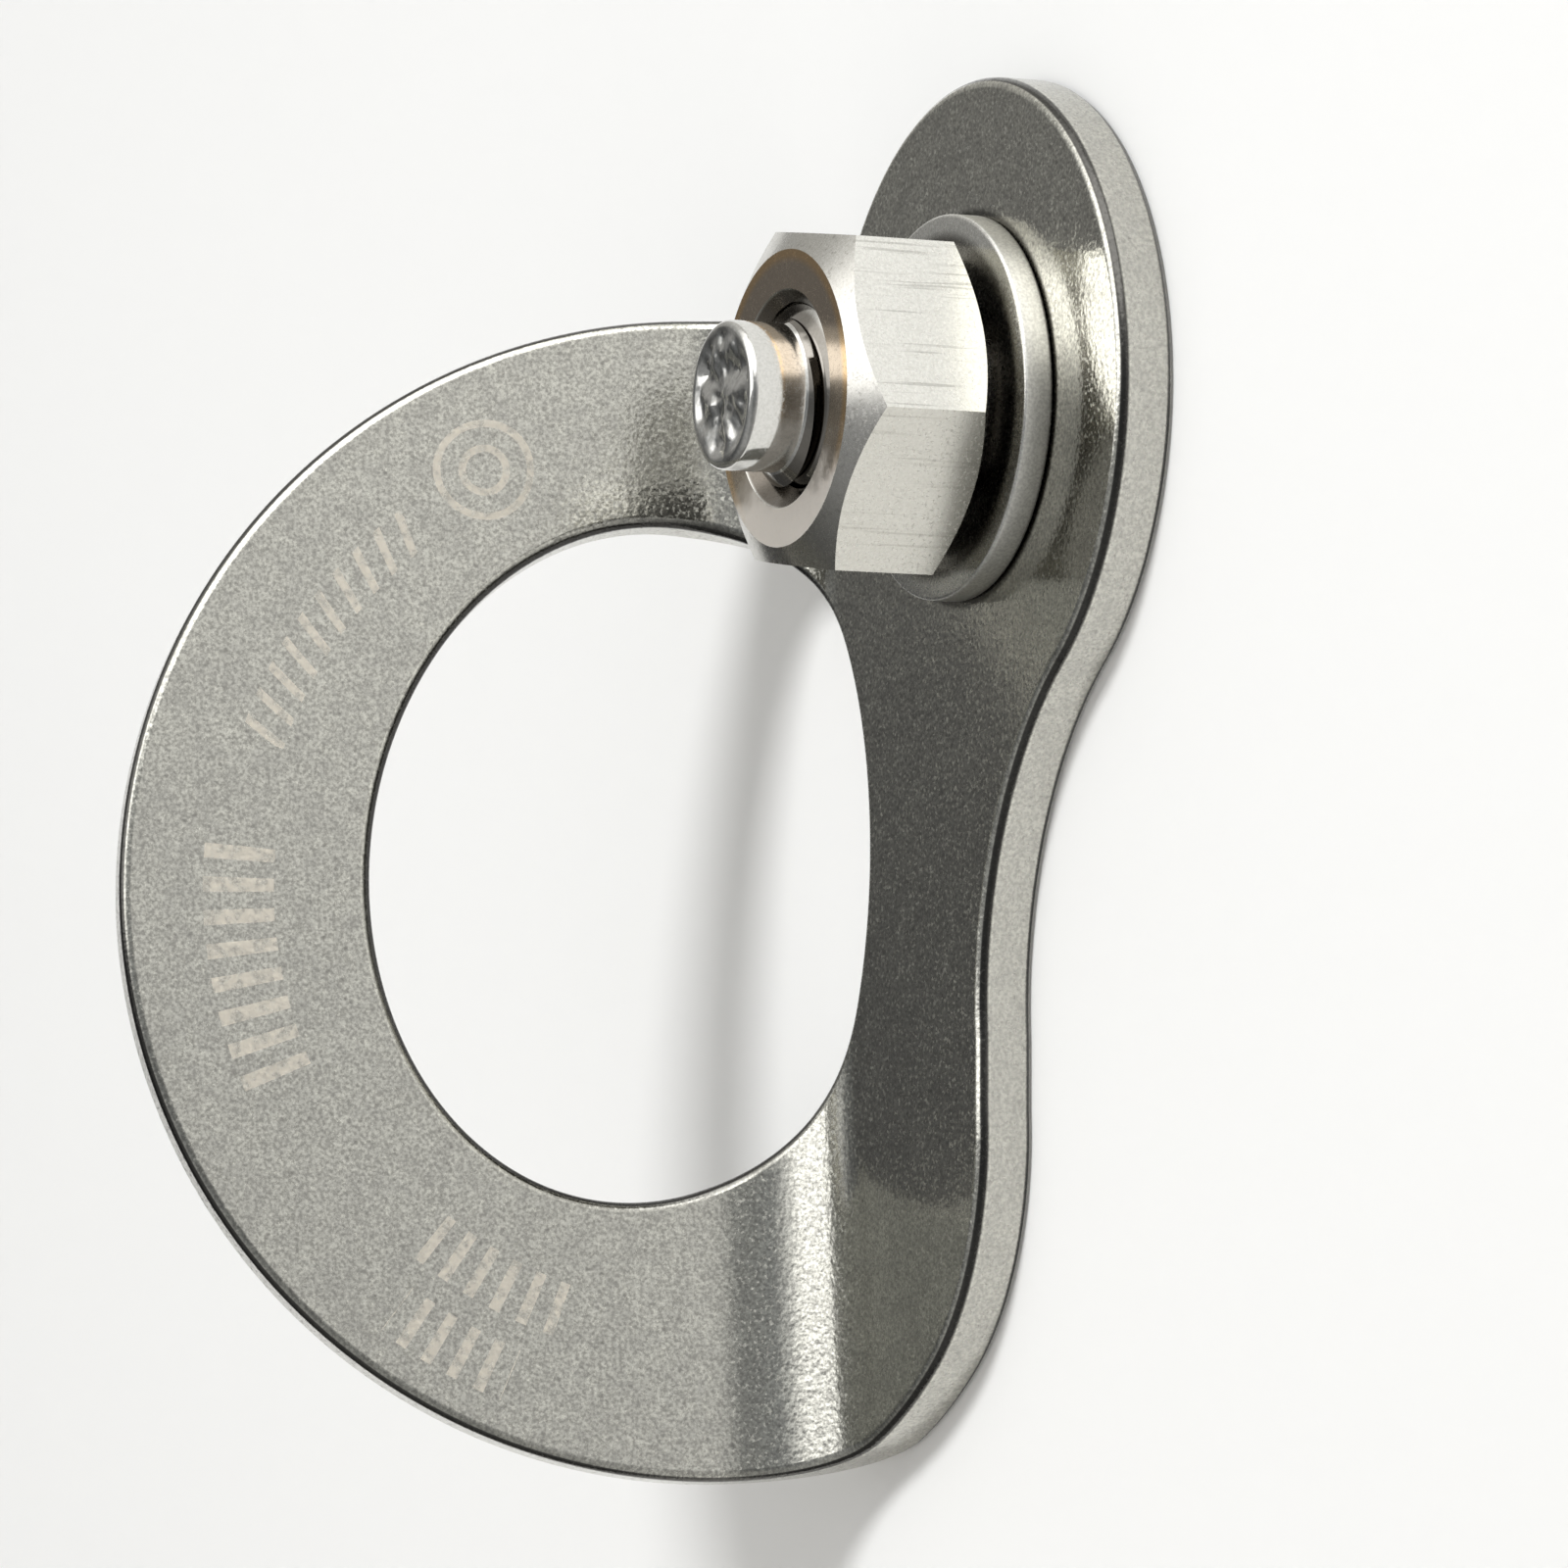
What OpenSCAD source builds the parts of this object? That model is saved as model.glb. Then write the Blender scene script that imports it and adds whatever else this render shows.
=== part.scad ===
// Bolt hanger with its M10 wedge anchor: a bent stainless plate with a large eye, held on a
// threaded stud by a washer and a hex nut. The far end of the stud carries a split clip whose
// leaves are spread by a cone when the stud is pulled.
// Frame: the bolt axis is the Y axis, +Y goes into the wall, +Z is up, and the origin is
// where the bolt axis meets the rear face of the plate.

/* [Plate] */
// Thickness of the sheet
plate_t = 3; // [2:0.5:4]
// Radius of the round lobe about the bolt
lobe_r = 17.2; // [16:0.1:18.5]
// Radius of the round rim about the eye
rim_r = 31.5; // [31:0.1:32.5]
// Flat distance from the bolt to the centre of the rim, across the bend
rim_across = 25.2; // [25:0.1:26]
// Drop from the bolt to the centre of the rim
rim_drop = 22.4; // [21.8:0.1:23]
// Radius of the lower corner of the flange
corner_r = 15.3; // [14.8:0.1:15.8]
// Direction of the lower corner from the rim's centre, below the horizontal
corner_dir = 58.6; // [57:0.2:60]
// Radius of the hollow neck between the lobe and the flange's straight side
neck_r = 21; // [20.5:0.1:21.5]
// Radius of the hollow between the lobe and the top of the rim
top_fillet_r = 5; // [4:0.5:6]

/* [Bend] */
// Angle between the flange and the wing, measured as the turn of the sheet
bend_angle = 75; // [60:1:90]
// Inner radius of the bend
bend_r = 7.5; // [6:0.5:9]
// Distance from the bolt to the line where the two inner faces would meet
bend_line = 21.5; // [21:0.1:22.5]

/* [Eye] */
// Half of the eye's short axis
eye_half_w = 14.7; // [13.5:0.1:15]
// Half of the eye's long axis
eye_half_h = 18.4; // [17:0.1:18.6]
// Flat distance from the bolt to the centre of the eye, across the bend
eye_across = 28.5; // [28:0.1:29]
// Drop from the bolt to the centre of the eye
eye_drop = 20.6; // [20:0.1:21.2]
// Lean of the eye's long axis towards the lobe
eye_lean = 9.7; // [8:0.1:11]

/* [Bolt hole and washer] */
// Diameter of the bolt hole in the plate
hole_d = 10.8; // [10.5:0.1:11.2]
// Outside diameter of the washer
washer_od = 20; // [19:0.5:22]
// Hole diameter of the washer
washer_id = 10.5; // [10.3:0.1:11]
// Thickness of the washer
washer_t = 1.6; // [1.5:0.1:2]
// Play between the plate and the washer
washer_gap = 0.05; // [0.03:0.01:0.1]

/* [Nut] */
// Width of the nut across its flats
nut_af = 17; // [16:0.5:17]
// Height of the nut
nut_h = 8; // [7.5:0.1:8.4]
// Play between the washer and the nut, which is not yet tightened
nut_gap = 0.85; // [0.6:0.05:1]
// Direction of the corner nearest to +X, below the horizontal
nut_corner_dir = 13; // [0:1:30]

/* [Stud] */
// Diameter over the thread crests
thread_d = 9.86; // [9.8:0.01:9.9]
// Pitch of the thread
thread_pitch = 1.5; // [1.25:0.25:1.5]
// Distance the stud stands in front of the plate's rear face
stud_front = 17; // [16.5:0.5:20]
// Diameter of the smooth tip that guards the thread
tip_d = 7.7; // [7.4:0.1:8]
// Length of the smooth tip
tip_len = 3; // [2.5:0.1:3.5]
// Where the thread ends, behind the plate
thread_end = 24; // [20:1:28]
// Diameter of the plain shank, a little under the rolled thread
shank_d = 9.5; // [9.4:0.05:9.55]
// Where the plain shank ends in a collar
shank_end = 41; // [38:0.5:44]
// Diameter of the reduced neck that carries the clip
mandrel_d = 7.2; // [7:0.1:7.4]
// Length of the reduced neck
mandrel_len = 12.5; // [12:0.5:14]
// Length of the cone that spreads the clip
cone_len = 7; // [6:0.5:8]
// Largest diameter of the cone
cone_d = 9.84; // [9.82:0.01:9.88]
// Length of the plain end behind the cone
end_len = 2; // [1.5:0.5:3]

/* [Clip] */
// Sheet thickness of the clip
clip_t = 0.9; // [0.8:0.05:0.9]
// Play between the clip and the reduced neck
clip_play = 0.08; // [0.06:0.01:0.1]
// Length of the clip's closed band
band_len = 3; // [2.5:0.5:4]
// Play at each end of the clip and between the band and its leaves
clip_end_gap = 0.2; // [0.1:0.05:0.3]
// Arc that each leaf covers
leaf_arc = 84; // [60:1:90]
// Opening of the band's slit
slit_arc = 16; // [10:1:24]

/* [Hidden] */
$fn = 96;
// Overlap that keeps a cut from sharing a face with what it cuts
eps = 0.01;
// Edges taken off the washer, the tip, the shank and the stud's far end
washer_edge = 0.3;
tip_edge = 0.4;
shank_edge = 0.2;
end_edge = 0.5;
// Play between the thread crests and the nut's bore, and how far the bore's mouths are countersunk
thread_play = 0.05;
sink_reach = 0.65;
// The nut's flat end face, as a share of its width across the flats, and the slope of its end cones
face_share = 0.9;
cone_slope = 30;
// The thread's crest width and depth as shares of the pitch, and the slope of its flanks
crest_share = 0.125;
depth_share = 0.613;
flank_slope = 30;
// Stations along the lobe, the rim, the bend and the straight sides
lobe_steps = 16;
rim_steps = 14;
bend_steps = 14;
side_steps = 6;

// Places on the flat sheet: across is positive to the right of the bolt, up is positive.
rim_c = [-rim_across, -rim_drop];
eye_c = [-eye_across, -eye_drop];
corner_c = rim_c + (rim_r - corner_r) * [cos(corner_dir), -sin(corner_dir)];
corner_join = rim_c + rim_r * [cos(corner_dir), -sin(corner_dir)];
side_low = corner_c + [corner_r, 0];
// The neck touches the lobe from outside and starts a little above the corner.
side_lean = 0.3;
neck_across = side_low[0] + side_lean + neck_r;
neck_c = [neck_across, -sqrt(pow(lobe_r + neck_r, 2) - pow(neck_across, 2))];
side_high = neck_c - [neck_r, 0];
neck_join = neck_c * lobe_r / (lobe_r + neck_r);
// The top hollow touches the lobe and the rim from outside.
fillet_d1 = lobe_r + top_fillet_r;
fillet_d2 = rim_r + top_fillet_r;
rim_dist = norm(rim_c);
fillet_along = (pow(fillet_d1, 2) - pow(fillet_d2, 2) + pow(rim_dist, 2)) / (2 * rim_dist);
fillet_off = sqrt(pow(fillet_d1, 2) - pow(fillet_along, 2));
rim_dir = rim_c / rim_dist;
fillet_c = fillet_along * rim_dir + fillet_off * [rim_dir[1], -rim_dir[0]];
fillet_lobe = fillet_c * lobe_r / fillet_d1;
fillet_rim = rim_c + (fillet_c - rim_c) * rim_r / fillet_d2;

// Upper and lower half of a circle at a given place across the sheet
function arc_up(c, r, x) = c[1] + sqrt(max(0, r * r - pow(x - c[0], 2)));
function arc_down(c, r, x) = c[1] - sqrt(max(0, r * r - pow(x - c[0], 2)));

// Top and bottom edge of the sheet
function top_edge(x) =
    x < fillet_rim[0] ? arc_up(rim_c, rim_r, x) :
    x < fillet_lobe[0] ? arc_down(fillet_c, top_fillet_r, x) :
    arc_up([0, 0], lobe_r, x);
function bottom_edge(x) =
    x < corner_join[0] ? arc_down(rim_c, rim_r, x) :
    x <= side_low[0] ? arc_down(corner_c, corner_r, x) :
    x < side_high[0] ? side_low[1] :
    x < neck_join[0] ? arc_up(neck_c, neck_r, x) :
    arc_down([0, 0], lobe_r, x);

// The eye is a leaning ellipse; its edge heights solve a quadratic at each place across.
eye_a2 = pow(eye_half_w, 2);
eye_b2 = pow(eye_half_h, 2);
eye_hh = pow(sin(eye_lean), 2) / eye_a2 + pow(cos(eye_lean), 2) / eye_b2;
eye_xx = pow(cos(eye_lean), 2) / eye_a2 + pow(sin(eye_lean), 2) / eye_b2;
eye_xh = sin(eye_lean) * cos(eye_lean) * (1 / eye_b2 - 1 / eye_a2);
eye_reach = sqrt(eye_a2 * pow(cos(eye_lean), 2) + eye_b2 * pow(sin(eye_lean), 2));
eye_left = eye_c[0] - eye_reach;
eye_right = eye_c[0] + eye_reach;
function eye_root(dx) = sqrt(max(0, pow(eye_xh * dx, 2) - eye_hh * (eye_xx * dx * dx - 1)));
function eye_edge(x, side) =
    let (dx = x - eye_c[0]) eye_c[1] + (-eye_xh * dx + side * eye_root(dx)) / eye_hh;

// The bend starts on the flange side and ends on the wing side of the sheet.
bend_from = -bend_line + bend_r * tan(bend_angle / 2);
bend_len = bend_r * bend_angle * PI / 180;
bend_to = bend_from - bend_len;

// A place on the flat sheet, at a depth behind its front face, after bending
function bent(x, h, depth) =
    let (turn = min(bend_angle, max(0, (bend_from - x) / bend_r * 180 / PI)),
         flat_on = max(0, x - bend_from),
         flat_off = max(0, bend_to - x),
         r = bend_r + depth)
    [bend_from + flat_on - r * sin(turn) - flat_off * cos(turn),
     -plate_t - bend_r + r * cos(turn) - flat_off * sin(turn),
     h];

// Stations across the sheet, closer together at both ends of each stretch
function stretch(a, b, n) = [for (i = [0:n - 1]) a + (b - a) * (1 - cos(180 * i / n)) / 2];
rim_left = rim_c[0] - rim_r;
outer_stations = concat(stretch(rim_left, eye_left, rim_steps), [eye_left]);
eye_stations = concat(stretch(eye_left, bend_to, rim_steps), stretch(bend_to, bend_from, bend_steps),
                      stretch(bend_from, eye_right, side_steps), [eye_right]);
inner_stations = concat(stretch(eye_right, corner_join[0], side_steps),
                        stretch(corner_join[0], side_low[0], side_steps), [side_low[0]],
                        stretch(side_high[0], neck_join[0], lobe_steps),
                        stretch(neck_join[0], lobe_r, lobe_steps), [lobe_r]);

// The nut: corner radius, radius of its flat end faces, and how far its end cones reach
nut_corner_r = nut_af / 2 / cos(180 / 6);
nut_face_r = face_share * nut_af / 2;
nut_cone_h = (nut_corner_r + eps - nut_face_r) * tan(cone_slope);
nut_rear = -plate_t - washer_gap - washer_t - nut_gap;
nut_bore_r = thread_d / 2 + thread_play;
nut_sink_r = nut_bore_r + sink_reach;

// The stud: its thread is a row of grooves that stand for the helix
tip_from = -stud_front;
tip_to = tip_from + tip_len;
thread_r = thread_d / 2;
thread_from = tip_to + thread_r - tip_d / 2;
groove_count = floor((thread_end - thread_from) / thread_pitch);
groove_half = (1 - crest_share) / 2 * thread_pitch;
root_r = thread_r - depth_share * thread_pitch;
root_half = groove_half - (thread_r - root_r) * tan(flank_slope);
cone_from = shank_end + mandrel_len;

// The clip lies on the reduced neck, band first, with its leaves reaching to the cone.
band_from = shank_end + clip_end_gap;
leaf_from = band_from + band_len + clip_end_gap;
leaf_dirs = [90, 210, 330];

// A closed run of sheet between a lower and an upper edge. Each station gives four corners:
// lower front, upper front, upper rear, lower rear.
module sheet_run(stations, low, high) {
    n = len(stations);
    points = [for (i = [0:n - 1]) each [bent(stations[i], low[i], 0), bent(stations[i], high[i], 0),
                                        bent(stations[i], high[i], plate_t),
                                        bent(stations[i], low[i], plate_t)]];
    sides = [for (i = [0:n - 2]) for (k = [0:3])
             [4 * i + k, 4 * i + (k + 1) % 4, 4 * i + 4 + (k + 1) % 4, 4 * i + 4 + k]];
    ends = [[3, 2, 1, 0], [for (k = [0:3]) 4 * (n - 1) + k]];
    polyhedron(points = points, faces = concat(sides, ends), convexity = 6);
}

// Turns a shape made along +Z so that it lies along the bolt, +Z becoming +Y
module along_bolt() rotate([-90, 0, 0]) children();

module hanger_plate() color([0.72, 0.71, 0.68]) difference() {
    union() {
        sheet_run(outer_stations, [for (x = outer_stations) bottom_edge(x)],
                  [for (x = outer_stations) top_edge(x)]);
        sheet_run(eye_stations, [for (x = eye_stations) bottom_edge(x)],
                  [for (x = eye_stations) eye_edge(x, -1)]);
        sheet_run(eye_stations, [for (x = eye_stations) eye_edge(x, 1)],
                  [for (x = eye_stations) top_edge(x)]);
        sheet_run(inner_stations, [for (x = inner_stations) bottom_edge(x)],
                  [for (x = inner_stations) top_edge(x)]);
    }
    along_bolt() translate([0, 0, -2 * plate_t]) cylinder(d = hole_d, h = 4 * plate_t);
}

module flat_washer() color([0.74, 0.73, 0.70]) along_bolt()
    translate([0, 0, -plate_t - washer_gap - washer_t]) difference() {
        rotate_extrude() polygon([[0, 0], [washer_od / 2 - washer_edge, 0],
                                  [washer_od / 2, washer_edge],
                                  [washer_od / 2, washer_t - washer_edge],
                                  [washer_od / 2 - washer_edge, washer_t], [0, washer_t]]);
        translate([0, 0, -washer_t]) cylinder(d = washer_id, h = 3 * washer_t);
    }

// Both ends of the nut are turned to a cone that trims the corners.
module hex_nut() color([0.80, 0.79, 0.76]) along_bolt()
    translate([0, 0, nut_rear - nut_h]) difference() {
        intersection() {
            rotate([0, 0, nut_corner_dir]) cylinder(r = nut_corner_r, h = nut_h, $fn = 6);
            rotate_extrude() polygon([[0, 0], [nut_face_r, 0], [nut_corner_r + eps, nut_cone_h],
                                      [nut_corner_r + eps, nut_h - nut_cone_h],
                                      [nut_face_r, nut_h], [0, nut_h]]);
        }
        translate([0, 0, -eps]) cylinder(r = nut_bore_r, h = nut_h + 2 * eps);
        for (flip = [0, 1]) translate([0, 0, flip * nut_h]) mirror([0, 0, flip])
            translate([0, 0, -eps])
                cylinder(r1 = nut_sink_r + eps, r2 = nut_bore_r, h = nut_sink_r - nut_bore_r + eps);
    }

// One thread groove, as distance from the axis and place along it
function groove(at) = [[thread_r, at - groove_half], [root_r, at - root_half],
                       [root_r, at + root_half], [thread_r, at + groove_half]];

module anchor_stud() color([0.76, 0.75, 0.72]) along_bolt() rotate_extrude() polygon(concat(
    [[0, tip_from], [tip_d / 2 - tip_edge, tip_from], [tip_d / 2, tip_from + tip_edge],
     [tip_d / 2, tip_to], [thread_r, thread_from]],
    [for (i = [0:groove_count - 1]) each groove(thread_from + (i + 0.5) * thread_pitch)],
    [[thread_r, thread_end], [shank_d / 2, thread_end], [shank_d / 2, shank_end - shank_edge],
     [shank_d / 2 - shank_edge, shank_end], [mandrel_d / 2, shank_end],
     [mandrel_d / 2, cone_from], [cone_d / 2, cone_from + cone_len],
     [cone_d / 2, cone_from + cone_len + end_len - end_edge],
     [cone_d / 2 - end_edge, cone_from + cone_len + end_len],
     [0, cone_from + cone_len + end_len]]));

// Part of a ring of clip sheet, its middle pointing along a direction about the bolt
module clip_ring(from, to, arc, dir) color([0.66, 0.66, 0.65]) along_bolt()
    translate([0, 0, from]) rotate([0, 0, -dir - arc / 2]) rotate_extrude(angle = arc)
        translate([mandrel_d / 2 + clip_play, 0]) square([clip_t, to - from]);

module clip_band() clip_ring(band_from, band_from + band_len, 360 - slit_arc, leaf_dirs[0] + 180);

module clip_leaf(dir) clip_ring(leaf_from, cone_from - clip_end_gap, leaf_arc, dir);

module clip_leaf_a() clip_leaf(leaf_dirs[0]);

module clip_leaf_b() clip_leaf(leaf_dirs[1]);

module clip_leaf_c() clip_leaf(leaf_dirs[2]);

hanger_plate();
flat_washer();
hex_nut();
anchor_stud();
clip_band();
clip_leaf_a();
clip_leaf_b();
clip_leaf_c();
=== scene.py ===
import math

import bmesh
import bpy
from mathutils import Matrix, Vector, noise
from mathutils.geometry import delaunay_2d_cdt


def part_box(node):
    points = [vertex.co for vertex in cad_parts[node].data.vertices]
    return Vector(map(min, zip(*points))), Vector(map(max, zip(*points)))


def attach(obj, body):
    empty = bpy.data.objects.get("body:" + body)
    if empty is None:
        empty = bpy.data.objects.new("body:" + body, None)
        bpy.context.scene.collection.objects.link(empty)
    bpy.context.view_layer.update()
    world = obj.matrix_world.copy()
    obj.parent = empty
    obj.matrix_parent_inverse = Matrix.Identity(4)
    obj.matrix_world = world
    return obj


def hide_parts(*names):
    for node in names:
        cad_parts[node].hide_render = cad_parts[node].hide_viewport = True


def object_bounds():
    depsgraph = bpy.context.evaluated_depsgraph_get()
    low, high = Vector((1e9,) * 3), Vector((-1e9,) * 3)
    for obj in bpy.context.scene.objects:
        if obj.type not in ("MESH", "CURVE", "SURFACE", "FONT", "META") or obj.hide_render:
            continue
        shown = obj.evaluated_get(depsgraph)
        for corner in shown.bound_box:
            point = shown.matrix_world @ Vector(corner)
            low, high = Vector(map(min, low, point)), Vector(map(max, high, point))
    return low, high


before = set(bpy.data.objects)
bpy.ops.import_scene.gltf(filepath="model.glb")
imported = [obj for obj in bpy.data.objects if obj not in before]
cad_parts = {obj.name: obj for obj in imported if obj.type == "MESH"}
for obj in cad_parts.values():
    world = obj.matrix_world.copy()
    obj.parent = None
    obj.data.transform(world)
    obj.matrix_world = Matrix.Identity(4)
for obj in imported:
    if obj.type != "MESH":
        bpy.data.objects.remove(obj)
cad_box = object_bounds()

# Bolt hanger on its wedge anchor. The bolt axis is Y, +Y goes into the wall and +Z is up.
# Sizes are in millimetres until mesh_piece() turns them into metres.
MM = 0.001


def lowest(node):
    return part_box(node)[0] / MM


def highest(node):
    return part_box(node)[1] / MM


# ---------------------------------------------------------------- sizes, from the CAD frame
PLATE_T = 3.0
LOBE_R = highest("hanger_plate").x
HOLE_R = 5.4
WASHER_R = highest("flat_washer").z
WASHER_BORE_R = 5.25
WASHER_FRONT = lowest("flat_washer").y
WASHER_REAR = highest("flat_washer").y
NUT_FRONT = lowest("hex_nut").y
NUT_REAR = highest("hex_nut").y
STUD_FRONT = lowest("anchor_stud").y
STUD_REAR = highest("anchor_stud").y
BAND_FROM = lowest("clip_band").y
BAND_TO = highest("clip_band").y
LEAF_FROM = lowest("clip_leaf_a").y
LEAF_TO = highest("clip_leaf_a").y
CLIP_OUT_R = highest("clip_leaf_a").z

# ---------------------------------------------------------------- plate outline, flat sheet
RIM_C = Vector((-25.2, -22.4))
RIM_R = 31.5
CORNER_R = 15.3
CORNER_DIR = 58.6
NECK_R = 21.0
SIDE_LEAN = 0.3
TOP_FILLET_R = 5.0
EYE_C = Vector((-28.5, -20.6))
EYE_HALF_W = 14.7
EYE_HALF_H = 18.4
EYE_LEAN = 9.7
BEND_ANGLE = math.radians(75)
BEND_R = 7.5
BEND_LINE = 21.5
BEND_FROM = -BEND_LINE + BEND_R * math.tan(BEND_ANGLE / 2)
BEND_TO = BEND_FROM - BEND_R * BEND_ANGLE
FRONT_ROUND = 0.6
REAR_ROUND = 0.4
ROUND_STEPS = 5
SKIN_GAP = 0.003
OUTLINE_STEP = 0.45
GRID_STEP = 1.3
GRID_STEP_BEND = 0.35
GRID_CLEAR = 0.45
MERGE_DIST = 1e-5

# ---------------------------------------------------------------- fasteners
PITCH = 1.5
THREAD_R = 4.93
ROOT_R = 4.01
THREAD_TO = 24.0
FLANK = math.tan(math.radians(30))
CREST_SHARE = 0.125
FADE_FROM = 1.6 * PITCH
FADE_OVER = 1.5 * PITCH
SHANK_R = 4.75
SHANK_TO = 41.0
NECK_SHAFT_R = 3.6
CONE_FROM = 53.5
CONE_TO = 60.5
CONE_R = 4.92
TIP_R = 3.85
TIP_TO = -14.0
TIP_GROOVE_FROM = TIP_TO - 0.9
TIP_GROOVE_AT = TIP_TO - 0.3
TIP_GROOVE = 0.05
COLUMNS = 96
NUT_AF = 17.0
NUT_FACE_R = 7.65
NUT_CORNER = math.radians(103)
NUT_SINK_R = 5.63
NUT_CREST_R = 4.25
NUT_ROOT_R = 5.02
NUT_CONE = math.tan(math.radians(30))
THREAD_GAP = 0.06
CLIP_T = 0.9
CLIP_SLIT = 16
LEAF_ARC = 84
WELD_DIST = 1e-4

# ---------------------------------------------------------------- tints
# Colour of the painted contact shadow, the dark ring round the washer on the plate.
PAINTED_CONTACT_SHADE = (0.08, 0.075, 0.065)
EDGE_BLACK = (0.06, 0.058, 0.055)
DULL_STEEL = (0.42, 0.41, 0.385)
SPOT_GREY = (0.26, 0.25, 0.23)
ETCHED = (0.86, 0.80, 0.69)
BROWNED = (0.46, 0.37, 0.28)
# Near-white colour of the painted highlight at the bottom of the nut's front face.
BROWNED_RIM = (0.66, 0.43, 0.20)
PAINTED_LOW_HIGHLIGHT = (1.0, 0.94, 0.87)

# ---------------------------------------------------------------- stage
STAGE_REACH = 1.2
FLOOR_Z = -0.25
WALL_Y = 0.00004
EVEN_STRENGTH = 0.47
REFLECTED_STRENGTH = 2.0
BACKDROP = (0.93, 0.935, 0.93)
SECOND_BOUNCE = 0.07
NUT_GLOW_WAY = Vector((0.52, -0.42, 0.743)).normalized()


def direction(degrees):
    return Vector((math.cos(math.radians(degrees)), math.sin(math.radians(degrees))))


def angle_of(v):
    return math.degrees(math.atan2(v.y, v.x))


# ---------------------------------------------------------------- mesh helpers
def mesh_piece(name, bm, body, nodes):
    """Turns a bmesh in millimetres into a piece that stands for CAD nodes and rides on a body."""
    mesh = bpy.data.meshes.new(name)
    bm.to_mesh(mesh)
    bm.free()
    mesh.transform(Matrix.Scale(MM, 4))
    piece = bpy.data.objects.new(name, mesh)
    bpy.context.scene.collection.objects.link(piece)
    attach(piece, body)
    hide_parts(*nodes)
    return piece


def smooth_by_angle(piece, degrees):
    for face in piece.data.polygons:
        face.use_smooth = True
    piece.data.set_sharp_from_angle(angle=math.radians(degrees))


def round_edges(piece, width, degrees, segments=3):
    """Rounds the edges sharper than an angle, and keeps the flat faces' shading flat."""
    bevel = piece.modifiers.new("edges", "BEVEL")
    bevel.width = width * MM
    bevel.segments = segments
    bevel.limit_method = "ANGLE"
    bevel.angle_limit = math.radians(degrees)
    bevel.harden_normals = True


def ring_point(radius, turn, y):
    """A point at a turn about +Y, counted from +Z towards +X."""
    return Vector((radius * math.sin(turn), y, radius * math.cos(turn)))


def revolve(bm, profile, closed=False, start=0.0):
    """Rings of COLUMNS points about the bolt axis through (radius, y) profile points."""
    turns = [start + math.tau * j / COLUMNS for j in range(COLUMNS)]
    rings = [[bm.verts.new(ring_point(r, turn, y)) for turn in turns] for r, y in profile]
    spans = len(rings) if closed else len(rings) - 1
    for i in range(spans):
        here, there = rings[i], rings[(i + 1) % len(rings)]
        for j in range(COLUMNS):
            k = (j + 1) % COLUMNS
            bm.faces.new((here[j], here[k], there[k], there[j]))
    return rings


def screw(bm, profile, y_low, y_high, limit, start=0.0):
    """A helical skin. The profile is one pitch of (share of pitch, radius) points, y_low and
    y_high cut it off square, and limit(radius, y) shapes its ends. A right turn drives it to +Y."""
    first = math.floor(y_low / PITCH) - 2
    last = math.ceil(y_high / PITCH) + 1
    rows = []
    for n in range(first, last + 1):
        for share, radius in profile:
            row = []
            for j in range(COLUMNS):
                at = PITCH * (n + share + j / COLUMNS)
                y = min(max(at, y_low), y_high)
                turn = start + math.tau * j / COLUMNS
                row.append(bm.verts.new(ring_point(limit(radius, y), turn, y)))
            rows.append(row)
    per_turn = len(profile)
    for i in range(len(rows) - 1 - per_turn):
        for j in range(COLUMNS):
            k = (j + 1) % COLUMNS
            jump = per_turn if k == 0 else 0
            corners = (rows[i][j], rows[i + jump][k], rows[i + 1 + jump][k], rows[i + 1][j])
            bm.faces.new(corners)


def weld(bm):
    bmesh.ops.remove_doubles(bm, verts=bm.verts, dist=WELD_DIST)
    bmesh.ops.dissolve_degenerate(bm, edges=bm.edges, dist=WELD_DIST)
    bmesh.ops.delete(bm, geom=[v for v in bm.verts if not v.link_faces], context="VERTS")
    bmesh.ops.recalc_face_normals(bm, faces=bm.faces)


# ---------------------------------------------------------------- hanger plate
def arc(centre, radius, start, end, hollow=False):
    """Points and outward normals along an arc, from a start to an end direction in degrees."""
    count = max(2, round(abs(math.radians(end - start)) * radius / OUTLINE_STEP))
    side = -1 if hollow else 1
    out = []
    for i in range(count):
        way = direction(start + (end - start) * i / count)
        out.append((centre + radius * way, side * way))
    return out


def plate_outline():
    """The sheet's outer edge, anticlockwise from the neck: lobe, hollow, rim, corner, side and
    neck."""
    lobe_c = Vector((0, 0))
    corner_c = RIM_C + (RIM_R - CORNER_R) * direction(-CORNER_DIR)
    side_low = corner_c + Vector((CORNER_R, 0))
    neck_x = side_low.x + SIDE_LEAN + NECK_R
    neck_c = Vector((neck_x, -math.sqrt((LOBE_R + NECK_R) ** 2 - neck_x ** 2)))
    lobe_reach = LOBE_R + TOP_FILLET_R
    rim_reach = RIM_R + TOP_FILLET_R
    apart = RIM_C.length
    along = (lobe_reach ** 2 - rim_reach ** 2 + apart ** 2) / (2 * apart)
    off = math.sqrt(lobe_reach ** 2 - along ** 2)
    to_rim = RIM_C.normalized()
    fillet_c = along * to_rim + off * Vector((to_rim.y, -to_rim.x))
    neck_at = angle_of(neck_c)
    fillet_at = angle_of(fillet_c)
    rim_at = angle_of(fillet_c - RIM_C)
    side_high = neck_c - Vector((NECK_R, 0))
    steps = round((side_high - side_low).length / OUTLINE_STEP)
    side = [(side_low.lerp(side_high, i / steps), Vector((1, 0))) for i in range(steps)]
    return (
        arc(lobe_c, LOBE_R, neck_at, fillet_at)
        + arc(fillet_c, TOP_FILLET_R, fillet_at - 180, angle_of(RIM_C - fillet_c), hollow=True)
        + arc(RIM_C, RIM_R, rim_at, 360 - CORNER_DIR)
        + arc(corner_c, CORNER_R, -CORNER_DIR, 0)
        + side
        + arc(neck_c, NECK_R, 180, neck_at + 180, hollow=True)
    )


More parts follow.
